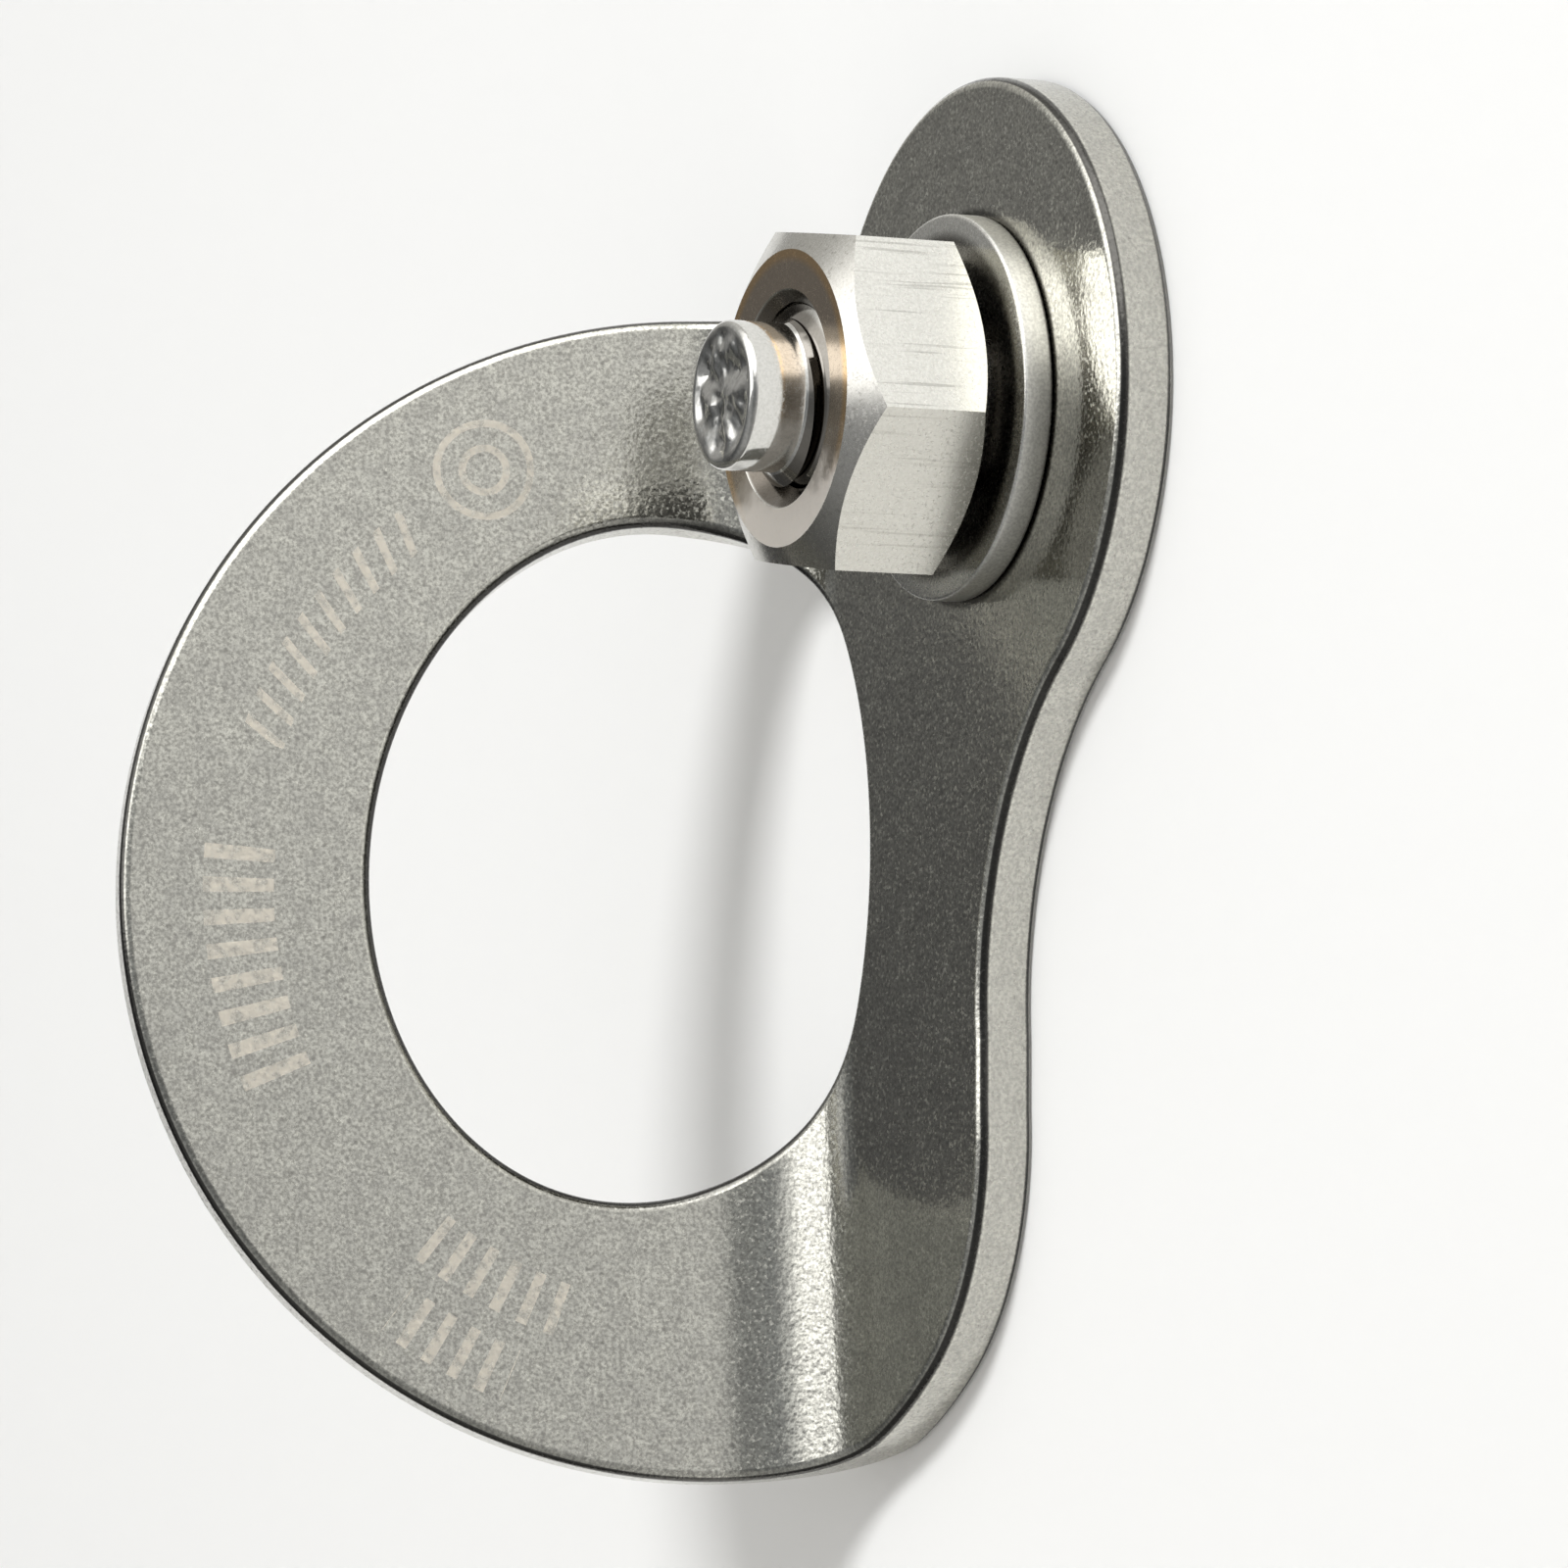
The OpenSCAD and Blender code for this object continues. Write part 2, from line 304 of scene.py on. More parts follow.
def eye_outline():
    """The eye's edge, a leaning ellipse. Its normals point out of the metal, into the eye."""
    count = round(math.pi * (EYE_HALF_W + EYE_HALF_H) / OUTLINE_STEP)
    lean = Matrix.Rotation(-math.radians(EYE_LEAN), 2)
    out = []
    for i in range(count):
        way = direction(-360 * i / count)
        point = Vector((EYE_HALF_W * way.x, EYE_HALF_H * way.y))
        normal = Vector((way.x / EYE_HALF_W, way.y / EYE_HALF_H)).normalized()
        out.append((EYE_C + lean @ point, -(lean @ normal)))
    return out


def hole_outline():
    count = round(math.tau * HOLE_R / OUTLINE_STEP)
    ways = [direction(-360 * i / count) for i in range(count)]
    return [(HOLE_R * way, -way) for way in ways]


def bent(x, h, depth):
    """Where a place on the flat sheet goes when the sheet is bent; depth 0 is the front face."""
    turn = min(BEND_ANGLE, max(0.0, (BEND_FROM - x) / BEND_R))
    on_flange = max(0.0, x - BEND_FROM)
    on_wing = max(0.0, BEND_TO - x)
    r = BEND_R + depth
    return Vector((
        BEND_FROM + on_flange - r * math.sin(turn) - on_wing * math.cos(turn),
        -PLATE_T - BEND_R + r * math.cos(turn) - on_wing * math.sin(turn),
        h,
    ))


def bent_normal(x, normal):
    """A normal on the flat sheet (across, up, depth) after bending."""
    turn = min(BEND_ANGLE, max(0.0, (BEND_FROM - x) / BEND_R))
    c, s = math.cos(turn), math.sin(turn)
    across, up, depth = normal
    return Vector((across * c - depth * s, across * s + depth * c, up))


def edge_profile():
    """The edge from the front face to the rear face: (inset, depth, outward share, depth share)."""
    out = []
    for i in range(ROUND_STEPS + 1):
        a = math.pi / 2 * i / ROUND_STEPS
        inset = FRONT_ROUND * (1 - math.sin(a))
        out.append((inset, FRONT_ROUND * (1 - math.cos(a)), math.sin(a), -math.cos(a)))
    for i in range(ROUND_STEPS + 1):
        a = math.pi / 2 * i / ROUND_STEPS
        inset = REAR_ROUND * (1 - math.cos(a))
        out.append((inset, PLATE_T - REAR_ROUND * (1 - math.sin(a)), math.cos(a), math.sin(a)))
    return out


def inside_hole(p, margin=FRONT_ROUND):
    """Whether a place on the sheet lies in the eye or the bolt hole, or on their rounded edges."""
    q = Matrix.Rotation(math.radians(EYE_LEAN), 2) @ (p - EYE_C)
    in_eye = (q.x / (EYE_HALF_W + margin)) ** 2 + (q.y / (EYE_HALF_H + margin)) ** 2 < 1
    return in_eye or p.length < HOLE_R + margin


def inner_places(loops):
    """Grid places for the flat faces, close together across the bend."""
    columns = []
    x = RIM_C.x - RIM_R
    while x < LOBE_R:
        columns.append(x)
        in_bend = BEND_TO - GRID_STEP < x < BEND_FROM + GRID_STEP
        x += GRID_STEP_BEND if in_bend else GRID_STEP
    near = {}
    for loop in loops:
        for p in loop:
            near.setdefault((round(p.x), round(p.y)), []).append(p)
    places = []
    low = RIM_C.y - RIM_R
    for i, x in enumerate(columns):
        y = low + GRID_STEP * 0.5 * (i % 2)
        while y < LOBE_R:
            p = Vector((x, y))
            cell = (round(x), round(y))
            close = any(
                (p - q).length < GRID_CLEAR
                for dx in (-1, 0, 1) for dy in (-1, 0, 1)
                for q in near.get((cell[0] + dx, cell[1] + dy), ())
            )
            if not close and not inside_hole(p):
                places.append(p)
            y += GRID_STEP
    return places


def build_plate():
    outlines = [plate_outline(), eye_outline(), hole_outline()]
    profile = edge_profile()
    points, normals, flat = [], [], []
    faces = []

    def add(place, depth, normal):
        points.append(bent(place.x, place.y, depth))
        normals.append(bent_normal(place.x, normal))
        flat.append((place.x, place.y, depth))
        return len(points) - 1

    front_loops, rear_loops = [], []
    for outline in outlines:
        rings = []
        for inset, depth, out_share, depth_share in profile:
            inwards = inset + SKIN_GAP
            rings.append([
                add(p - n * inwards, depth, (n.x * out_share, n.y * out_share, depth_share))
                for p, n in outline
            ])
        count = len(outline)
        for here, there in zip(rings, rings[1:]):
            for j in range(count):
                k = (j + 1) % count
                faces.append((here[j], there[j], there[k], here[k]))
        front_loops.append(rings[0])
        rear_loops.append(rings[-1])

    def flat_face(loops, depth, depth_share, turned):
        """Fills the sheet's front or rear face between the outline, the eye and the hole. A
        triangle with all its corners on one opening's loop is in that opening and is left out."""
        ids = [i for loop in loops for i in loop]
        openings = [set(loop) for loop in loops[1:]]
        places = [Vector(flat[i][:2]) for i in ids]
        edges, at = [], 0
        for loop in loops:
            edges += [(at + j, at + (j + 1) % len(loop)) for j in range(len(loop))]
            at += len(loop)
        grid = inner_places([[Vector(flat[i][:2]) for i in loop] for loop in loops])
        result = delaunay_2d_cdt(places + grid, edges, [], 1, MERGE_DIST)
        out_points, out_faces, origins = result[0], result[2], result[3]
        known = {}

        def corner(k):
            """The mesh point of a filled corner, added only when a face first needs it."""
            if k not in known:
                source = origins[k][0] if origins[k] else None
                if source is not None and source < len(ids):
                    known[k] = ids[source]
                else:
                    known[k] = add(Vector(out_points[k]), depth, (0, 0, depth_share))
            return known[k]

        for face in out_faces:
            corners = tuple(corner(k) for k in face)
            if not any(opening.issuperset(corners) for opening in openings):
                faces.append(corners[::-1] if turned else corners)

    flat_face(front_loops, 0.0, -1.0, False)
    flat_face(rear_loops, PLATE_T, 1.0, True)

    mesh = bpy.data.meshes.new("plate")
    mesh.from_pydata([p * MM for p in points], [], faces)
    mesh.validate()
    places = mesh.attributes.new("flat", "FLOAT_VECTOR", "POINT")
    places.data.foreach_set("vector", [c for place in flat for c in place])
    for face in mesh.polygons:
        face.use_smooth = True
    mesh.normals_split_custom_set_from_vertices([n.normalized() for n in normals])
    piece = bpy.data.objects.new("plate", mesh)
    bpy.context.scene.collection.objects.link(piece)
    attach(piece, "hanger")
    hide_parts("hanger_plate")
    return piece


# ---------------------------------------------------------------- washer, nut, stud
def build_washer(edge=0.18, inner_edge=0.15, steps=4):
    corners = [
        (WASHER_R, WASHER_FRONT, -edge, edge, 0), (WASHER_R, WASHER_REAR, -edge, -edge, 1),
        (WASHER_BORE_R, WASHER_REAR, inner_edge, -inner_edge, 2),
        (WASHER_BORE_R, WASHER_FRONT, inner_edge, inner_edge, 3),
    ]
    profile = []
    for r, y, in_r, in_y, quarter in corners:
        centre = Vector((r + in_r, y + in_y))
        for i in range(steps + 1):
            way = direction(-90 + 90 * quarter + 90 * i / steps)
            profile.append(tuple(centre + way * abs(in_r)))
    bm = bmesh.new()
    revolve(bm, profile, closed=True)
    weld(bm)
    piece = mesh_piece("washer", bm, "washer", ["flat_washer"])
    smooth_by_angle(piece, 40)
    return piece


def groove_half(radius):
    """Half the width of the stud's thread groove at a radius."""
    crest = CREST_SHARE * PITCH
    return (PITCH - crest) / 2 - (THREAD_R - radius) * FLANK


def mirrored(half):
    """The second half of a thread's profile, from its first half."""
    return [(1 - share, radius) for share, radius in half[::-1]]


def stud_thread_profile():
    """One pitch of the outer thread, with its crest and root rounded off."""
    root, top = groove_half(ROOT_R) / PITCH, groove_half(THREAD_R) / PITCH
    ease, shoulder = 0.035, 0.1
    floor_r, crest_r = ROOT_R + 0.015, THREAD_R - 0.01
    crest_at = top + ease * 0.6
    half = [
        (root - ease, floor_r), (root + ease, ROOT_R + shoulder),
        (top - ease, THREAD_R - shoulder), (crest_at, crest_r),
    ]
    return [(0.0, ROOT_R)] + half + [(0.5, THREAD_R)] + mirrored(half)


def nut_thread_profile():
    """One pitch of the nut's thread, which lies in the stud's groove with a small gap."""
    crest = (groove_half(NUT_CREST_R) - THREAD_GAP) / PITCH
    root = (groove_half(NUT_ROOT_R) - THREAD_GAP) / PITCH
    ease, crest_lip, shoulder, root_rise = 0.03, 0.01, 0.07, 0.09
    half = [
        (crest - ease, NUT_CREST_R + crest_lip), (crest + ease, NUT_CREST_R + shoulder),
        (root - ease, NUT_ROOT_R - root_rise), (root, NUT_ROOT_R),
    ]
    return [(0.0, NUT_CREST_R)] + half + [(0.5, NUT_ROOT_R + crest_lip)] + mirrored(half)


def ease_in(t):
    t = min(1.0, max(0.0, t))
    return t * t * (3 - 2 * t)


def stud_limit(radius, y):
    """Chamfers the thread's front end and fades its rear end into the shank."""
    radius = min(radius, TIP_R + max(0.0, y - TIP_TO))
    fade = ease_in((y - THREAD_TO + FADE_FROM) / FADE_OVER)
    return radius + (SHANK_R - radius) * fade


def nut_limit(radius, y):
    """Countersinks both mouths of the nut's bore."""
    return max(radius, NUT_SINK_R - (y - NUT_FRONT), NUT_SINK_R - (NUT_REAR - y))


def hammered_tip(bm, rim_r, y, rings=14, dish=0.16, lip=0.7):
    """The tip's end face: a shallow dish with the facets that cold forming leaves."""
    dents = [(0.75, 0.30, Vector((3.1, 0, 7.7))), (2.1, 0.10, Vector((9.2, 0, 1.3)))]
    rows = []
    for i in range(rings + 1):
        r = rim_r * (1 - i / rings)
        row = []
        for j in range(COLUMNS):
            p = ring_point(r, math.tau * j / COLUMNS, 0)
            inner = ease_in((rim_r - r) / lip)
            dent = sum(noise.noise(p * often + shift) * deep for often, deep, shift in dents)
            row.append(bm.verts.new(p + Vector((0, y + inner * (dish + dent), 0))))
        rows.append(row)
    for here, there in zip(rows, rows[1:]):
        for j in range(COLUMNS):
            k = (j + 1) % COLUMNS
            bm.faces.new((here[j], here[k], there[k], there[j]))


def rounded(r0, y0, r1, y1, steps=4):
    """A quarter round of a profile from one point to the other, bulging away from the axis."""
    out = []
    for i in range(steps + 1):
        a = math.pi / 2 * i / steps
        out.append((r0 + (r1 - r0) * math.sin(a), y1 + (y0 - y1) * math.cos(a)))
    return out


def build_stud(tip_edge=0.4, shank_edge=0.2, fillet=0.12, end_edge=0.5, cone_steps=16):
    bm = bmesh.new()
    hammered_tip(bm, TIP_R - tip_edge, STUD_FRONT)
    tip = rounded(TIP_R - tip_edge, STUD_FRONT, TIP_R, STUD_FRONT + tip_edge)
    tip += [(TIP_R, TIP_GROOVE_FROM), (TIP_R - TIP_GROOVE, TIP_GROOVE_AT), (TIP_R, TIP_TO)]
    revolve(bm, tip)
    screw(bm, stud_thread_profile(), TIP_TO, THREAD_TO, stud_limit)
    shank = [
        (SHANK_R, THREAD_TO), (SHANK_R, SHANK_TO - 4 * shank_edge),
        (SHANK_R, SHANK_TO - shank_edge), (SHANK_R - shank_edge, SHANK_TO),
        (NECK_SHAFT_R + fillet, SHANK_TO + fillet / 6), (NECK_SHAFT_R, SHANK_TO + fillet),
        (NECK_SHAFT_R, CONE_FROM),
    ]
    for i in range(1, cone_steps + 1):
        t = i / cone_steps
        r = NECK_SHAFT_R + (CONE_R - NECK_SHAFT_R) * t
        shank.append((r, CONE_FROM + (CONE_TO - CONE_FROM) * t))
    shank += [
        (CONE_R, STUD_REAR - end_edge), (CONE_R - 0.3 * end_edge, STUD_REAR - 0.3 * end_edge),
        (CONE_R - end_edge, STUD_REAR),
    ]
    centre_mark = [(2.2, 0.0), (1.6, 0.25), (0.8, 0.4), (0.0, 0.45)]
    shank += [(r, STUD_REAR - deep) for r, deep in centre_mark]
    revolve(bm, shank)
    weld(bm)
    piece = mesh_piece("stud", bm, "stud", ["anchor_stud"])
    smooth_by_angle(piece, 35)
    return piece


def hex_radius(turn):
    """Distance from the axis to the nut's flat at a turn about the axis."""
    side = math.pi / 3
    off_middle = (turn - NUT_CORNER) % side - side / 2
    return NUT_AF / 2 / math.cos(off_middle)


def build_nut(flat_rows=6, corner_round=0.11, sharp_from=24):
    bm = bmesh.new()
    turns = [NUT_CORNER + math.tau * j / COLUMNS for j in range(COLUMNS)]

    def half(y_face, inward):
        """One end, from the bore's mouth over the face and the end cone to the flats."""
        mouth = [ring_point(NUT_SINK_R, t, y_face) for t in turns]
        face = [ring_point(NUT_FACE_R, t, y_face) for t in turns]
        reach = [inward * (hex_radius(t) - NUT_FACE_R) * NUT_CONE for t in turns]
        cone = [ring_point(hex_radius(t), t, y_face + y) for t, y in zip(turns, reach)]
        return [mouth, face, cone]

    front = half(NUT_FRONT, 1)
    rear = half(NUT_REAR, -1)
    rows = front + [
        [a.lerp(b, i / flat_rows) for a, b in zip(front[-1], rear[-1])]
        for i in range(1, flat_rows)
    ] + rear[::-1]
    rings = [[bm.verts.new(p) for p in row] for row in rows]
    for here, there in zip(rings, rings[1:]):
        for j in range(COLUMNS):
            k = (j + 1) % COLUMNS
            bm.faces.new((here[j], here[k], there[k], there[j]))
    phase = NUT_CORNER / math.tau
    profile = [(share + phase, radius) for share, radius in nut_thread_profile()]
    screw(bm, profile, NUT_FRONT, NUT_REAR, nut_limit, start=NUT_CORNER)
    weld(bm)
    piece = mesh_piece("nut", bm, "nut", ["hex_nut"])
    smooth_by_angle(piece, sharp_from)
    round_edges(piece, corner_round, sharp_from)
    return piece


# ---------------------------------------------------------------- clip
def clip_sheet(name, body, node, low, high, middle, arc_angle, nubs, tip_thin=0.0):
    """A curved strip of clip sheet, with nubs pressed outwards, given thickness and soft edges."""
    edge, nub_height, taper = 0.12, 0.17, 1.5
    along_steps = max(6, round((high - low) / 0.25))
    arc_steps = max(12, round(arc_angle / 2.5))
    bm = bmesh.new()

    def skin(radius, outer):
        grid = []
        for i in range(along_steps + 1):
            y = low + (high - low) * i / along_steps
            row = []
            for j in range(arc_steps + 1):
                across = (j / arc_steps - 0.5) * arc_angle
                turn = math.radians(middle + across)
                r = radius
                if outer:
                    r -= tip_thin * ease_in((y - high + taper) / taper)
                    for nub_y, nub_at, nub_r in nubs:
                        away = math.hypot(y - nub_y, math.radians(across - nub_at) * radius)
                        r += nub_height * ease_in(1 - away / nub_r)
                row.append(bm.verts.new((r * math.cos(turn), y, r * math.sin(turn))))
            grid.append(row)
        for i in range(along_steps):
            for j in range(arc_steps):
                corners = (grid[i][j], grid[i][j + 1], grid[i + 1][j + 1], grid[i + 1][j])
                bm.faces.new(corners if outer else corners[::-1])
        return grid

    outer_grid = skin(CLIP_OUT_R, True)
    inner_grid = skin(CLIP_OUT_R - CLIP_T, False)

    def border(grid):
        rim = [row[0] for row in grid] + list(grid[-1][1:])
        return rim + [row[-1] for row in grid[-2::-1]] + list(grid[0][-2:0:-1])

    outer_rim, inner_rim = border(outer_grid), border(inner_grid)
    for j in range(len(outer_rim)):
        k = (j + 1) % len(outer_rim)
        bm.faces.new((outer_rim[j], outer_rim[k], inner_rim[k], inner_rim[j]))
    bmesh.ops.recalc_face_normals(bm, faces=bm.faces)
    piece = mesh_piece(name, bm, body, [node])
    smooth_by_angle(piece, 40)
    round_edges(piece, edge, 50, 2)
    return piece


def build_clip(nub_r=1.0, nub_side=22, tip_thin=0.35):
    pieces = [
        clip_sheet("clip_ring", "clip", "clip_band", BAND_FROM, BAND_TO, 270, 360 - CLIP_SLIT, [])
    ]
    middle = (LEAF_FROM + LEAF_TO) / 2
    nubs = [(middle - 2.2, side * nub_side, nub_r) for side in (-1, 1)]
    nubs.append((middle + 1.2, 0, nub_r))
    for letter, way in zip("abc", (90, 210, 330)):
        leaf = "leaf_" + letter
        pieces.append(clip_sheet(leaf, leaf, "clip_" + leaf, LEAF_FROM, LEAF_TO, way, LEAF_ARC,
                                 nubs, tip_thin=tip_thin))
    return pieces


# ---------------------------------------------------------------- materials
class Graph:
    """Short forms for building a node tree."""

    def __init__(self, tree):
        self.tree = tree
        tree.nodes.clear()

    def put(self, kind, settings=None, **inputs):
        node = self.tree.nodes.new(kind)
        for key, value in (settings or {}).items():
            setattr(node, key, value)
        for key, value in inputs.items():
            self.feed(node.inputs[key.replace("_", " ")], value)
        return node

    def feed(self, socket, value):
        if isinstance(value, bpy.types.NodeSocket):
            self.tree.links.new(value, socket)
        else:
            socket.default_value = value

    def math(self, operation, *values, clamp=False):
        node = self.tree.nodes.new("ShaderNodeMath")
        node.operation = operation
        node.use_clamp = clamp
        for socket, value in zip(node.inputs, values):
            self.feed(socket, value)
        return node.outputs[0]

    def ramp(self, value, stops, smooth=True):
        """A smooth curve through (place, grey or colour) stops."""
        node = self.tree.nodes.new("ShaderNodeValToRGB")
        node.color_ramp.interpolation = "EASE" if smooth else "LINEAR"
        elements = node.color_ramp.elements
        while len(elements) < len(stops):
            elements.new(0.5)
        for element, (place, shade) in zip(elements, stops):
            element.position = place
            element.color = (*shade, 1) if isinstance(shade, tuple) else (shade, shade, shade, 1)
        self.feed(node.inputs[0], value)
        return node.outputs[0]

    def mix(self, share, a, b):
        node = self.put("ShaderNodeMix", {"data_type": "RGBA"})
        self.feed(node.inputs[0], share)
        self.feed(node.inputs[6], a)
        self.feed(node.inputs[7], b)
        return node.outputs[2]

    def noise(self, vector, size, detail=2.0, rough=0.5):
        """Noise with features of about a size in millimetres."""
        return self.put("ShaderNodeTexNoise", Vector=vector, Scale=1 / (size * MM), Detail=detail,
                        Roughness=rough).outputs[0]

    def stretched(self, vector, scale):
        return self.put("ShaderNodeMapping", Vector=vector, Scale=scale).outputs[0]

    def split(self, vector):
        return self.put("ShaderNodeSeparateXYZ", Vector=vector).outputs

    def length(self, a, b):
        squares = [self.math("MULTIPLY", v, v) for v in (a, b)]
        return self.math("SQRT", self.math("ADD", *squares))

    def stain(self, tint, mask, strength, colour):
        """Mixes a colour into a tint where a mask is 1, at a strength."""
        return self.mix(self.math("MULTIPLY", mask, strength), tint, (*colour, 1))


def metal(name, dark, light, roughness, grain, grain_depth, tint_grain=0.16, specks=0.12):
    """Stainless steel with a fine grain: two tints mixed by noise, rougher specks among them, and
    a slightly pebbled surface. Grain sizes and depths are in millimetres."""
    material = bpy.data.materials.new(name)
    material.use_nodes = True
    g = Graph(material.node_tree)
    place = g.put("ShaderNodeTexCoord").outputs["Object"]
    fine = g.noise(place, tint_grain, 2.0, 0.6)
    pebble = g.noise(place, grain, 1.5, 0.5)
    coarse = g.noise(place, 6, 2.0)
    dull = g.ramp(g.noise(place, tint_grain * 1.1, 1.0), [(0.52, 0.0), (0.72, 1.0)])
    speckle = g.ramp(fine, [(0.32, 0.0), (0.68, 1.0)])
    tint = g.mix(speckle, (*dark, 1), (*light, 1))
    rough = g.math("MULTIPLY_ADD", coarse, 0.06, roughness - 0.03)
    rough = g.math("MULTIPLY_ADD", dull, specks, rough)
    bump = g.put("ShaderNodeBump", Height=pebble, Distance=grain_depth * MM, Strength=1.0)
    surface = g.put("ShaderNodeBsdfPrincipled", Base_Color=tint, Metallic=1.0, Roughness=rough,
                    Normal=bump.outputs[0])
    g.put("ShaderNodeOutputMaterial", Surface=surface.outputs[0])
    inputs = surface.inputs
    return material, g, {"place": place, "tint": tint, "rough": rough, "bump": bump.inputs,
                         "base": inputs["Base Color"], "roughness": inputs["Roughness"]}


def sheet_place(g):
    """Where a point of the plate lies on the flat sheet: across, up, and depth from the front."""
    return g.split(g.put("ShaderNodeAttribute", {"attribute_name": "flat"}).outputs["Vector"])


def etched_marks(g, sheet):
    """A mask of generic etched marks on the wing, 1 on a mark: a ring and rows of plain strokes.
    Places are polar about the rim's centre, with the angle counted from the wing's far side."""
    dx = g.math("SUBTRACT", RIM_C.x, sheet[0])
    dy = g.math("SUBTRACT", RIM_C.y, sheet[1])
    radius = g.length(dx, dy)
    angle = g.math("ARCTAN2", dy, dx)

    def local(at_r, at_deg):
        """Distances from a mark's middle, along the rim and away from the rim's centre."""
        along = g.math("MULTIPLY", g.math("SUBTRACT", angle, math.radians(at_deg)), at_r)
        return along, g.math("SUBTRACT", radius, at_r)

    def within(value, half):
        return g.math("LESS_THAN", g.math("ABSOLUTE", value), half)

    def strokes(at_r, at_deg, length, height, pitch, share, slant=0.0):
        along, out = local(at_r, at_deg)
        leaned = g.math("MULTIPLY_ADD", out, slant, along)
        wave = g.math("SUBTRACT", g.math("FRACT", g.math("DIVIDE", leaned, pitch)), 0.5)
        mask = g.math("MULTIPLY", within(along, length / 2), within(out, height / 2))
        return g.math("MULTIPLY", mask, within(wave, share / 2))

    def ring(at_r, at_deg, ring_r, width):
        away = g.length(*local(at_r, at_deg))
        return within(g.math("SUBTRACT", away, ring_r), width / 2)

    marks = [
        ring(25.8, -63.8, 2.55, 0.4),
        ring(25.8, -63.8, 1.2, 0.4),
        strokes(25.2, -36, 14.5, 2.4, 1.5, 0.32, 0.35),
        strokes(25.2, 8, 13.0, 3.8, 1.7, 0.45),
        strokes(23.8, 59.5, 8.0, 2.9, 1.5, 0.4),
        strokes(28.0, 59, 7.0, 2.9, 1.5, 0.4),
    ]
    mask = marks[0]
    for mark in marks[1:]:
        mask = g.math("MAXIMUM", mask, mark)
    front = g.math("LESS_THAN", sheet[2], 0.01)
    return g.math("MULTIPLY", mask, front)


def from_axis(g, place):
    """Distance from the bolt axis, in millimetres, and the place's three coordinates."""
    split = g.split(place)
    return g.math("DIVIDE", g.length(split[0], split[2]), MM), split


def near_eye(g, sheet, reach=0.5):
    """A mask that is 1 along the eye's edge and fades out at a reach from it."""
    dx = g.math("SUBTRACT", sheet[0], EYE_C.x)
    dy = g.math("SUBTRACT", sheet[1], EYE_C.y)
    c, s = math.cos(math.radians(EYE_LEAN)), math.sin(math.radians(EYE_LEAN))
    across = g.math("SUBTRACT", g.math("MULTIPLY", dx, c), g.math("MULTIPLY", dy, s))
    along = g.math("ADD", g.math("MULTIPLY", dx, s), g.math("MULTIPLY", dy, c))
    across = g.math("DIVIDE", across, EYE_HALF_W + reach)
    along = g.math("DIVIDE", along, EYE_HALF_H + reach)
    away = g.length(across, along)
    return g.ramp(g.math("MULTIPLY", away, 0.5), [(0.493, 1.0), (0.502, 0.0)])


def plate_material():
    """Tumbled steel with duller blotches and dark spots, dark lines on its rounded edges, a painted
    contact shadow as a dark ring on the front round the washer's edge, and the etched marks."""
    material, g, n = metal("tumbled_steel", (0.47, 0.46, 0.415), (0.83, 0.82, 0.735), 0.14, 0.34,
                           0.015, tint_grain=0.19, specks=0.24)
    place = n["place"]
    sheet = sheet_place(g)
    depth = sheet[2]
    depth_share = g.math("DIVIDE", depth, PLATE_T)
    blotch = g.ramp(g.noise(place, 1.2, 3.0, 0.6), [(0.35, 0.0), (0.65, 1.0)])
    spots = g.put("ShaderNodeTexVoronoi", Vector=place, Scale=1 / (0.9 * MM)).outputs["Distance"]
    spot = g.ramp(spots, [(0.06, 1.0), (0.2, 0.0)])
    edge = g.ramp(depth_share, [
        (0.035, 0.0), (0.055, 1.0), (0.15, 1.0), (0.20, 0.0),
        (0.87, 0.0), (0.93, 1.0), (0.985, 1.0), (1.0, 0.0),
    ])
    side = g.ramp(depth_share, [(0.17, 0.0), (0.23, 1.0), (0.87, 1.0), (0.93, 0.0)])
    eye_edge = g.math("MULTIPLY", near_eye(g, sheet), g.math("LESS_THAN", depth, FRONT_ROUND))
    radius, _ = from_axis(g, place)
    # Painted shade: a dark ring on the plate's front just outside the washer's edge, standing in
    # for the contact shadow in the gap between washer and plate.
    contact_shadow_ring = g.ramp(g.math("DIVIDE", radius, LOBE_R), [
        (0.565, 0.0), (0.575, 1.0), (0.59, 1.0), (0.61, 0.0),
    ])
    contact_shadow_ring = g.math("MULTIPLY", contact_shadow_ring, g.math("LESS_THAN", depth, 0.5 * PLATE_T))
    worn = g.ramp(g.noise(place, 0.5, 2.0), [(0.30, 0.3), (0.6, 0.9)])
    mark = g.math("MULTIPLY", etched_marks(g, sheet), worn)
    tint = g.stain(n["tint"], blotch, 0.28, DULL_STEEL)
    tint = g.stain(tint, spot, 0.5, SPOT_GREY)
    tint = g.stain(tint, side, 0.5, DULL_STEEL)
    tint = g.stain(tint, edge, 0.93, EDGE_BLACK)
    tint = g.stain(tint, eye_edge, 0.9, EDGE_BLACK)
    tint = g.stain(tint, contact_shadow_ring, 0.85, PAINTED_CONTACT_SHADE)
    tint = g.stain(tint, mark, 1.0, ETCHED)
    g.feed(n["base"], tint)
    g.feed(n["roughness"], g.math("MULTIPLY_ADD", mark, 0.25, n["rough"]))
    return material


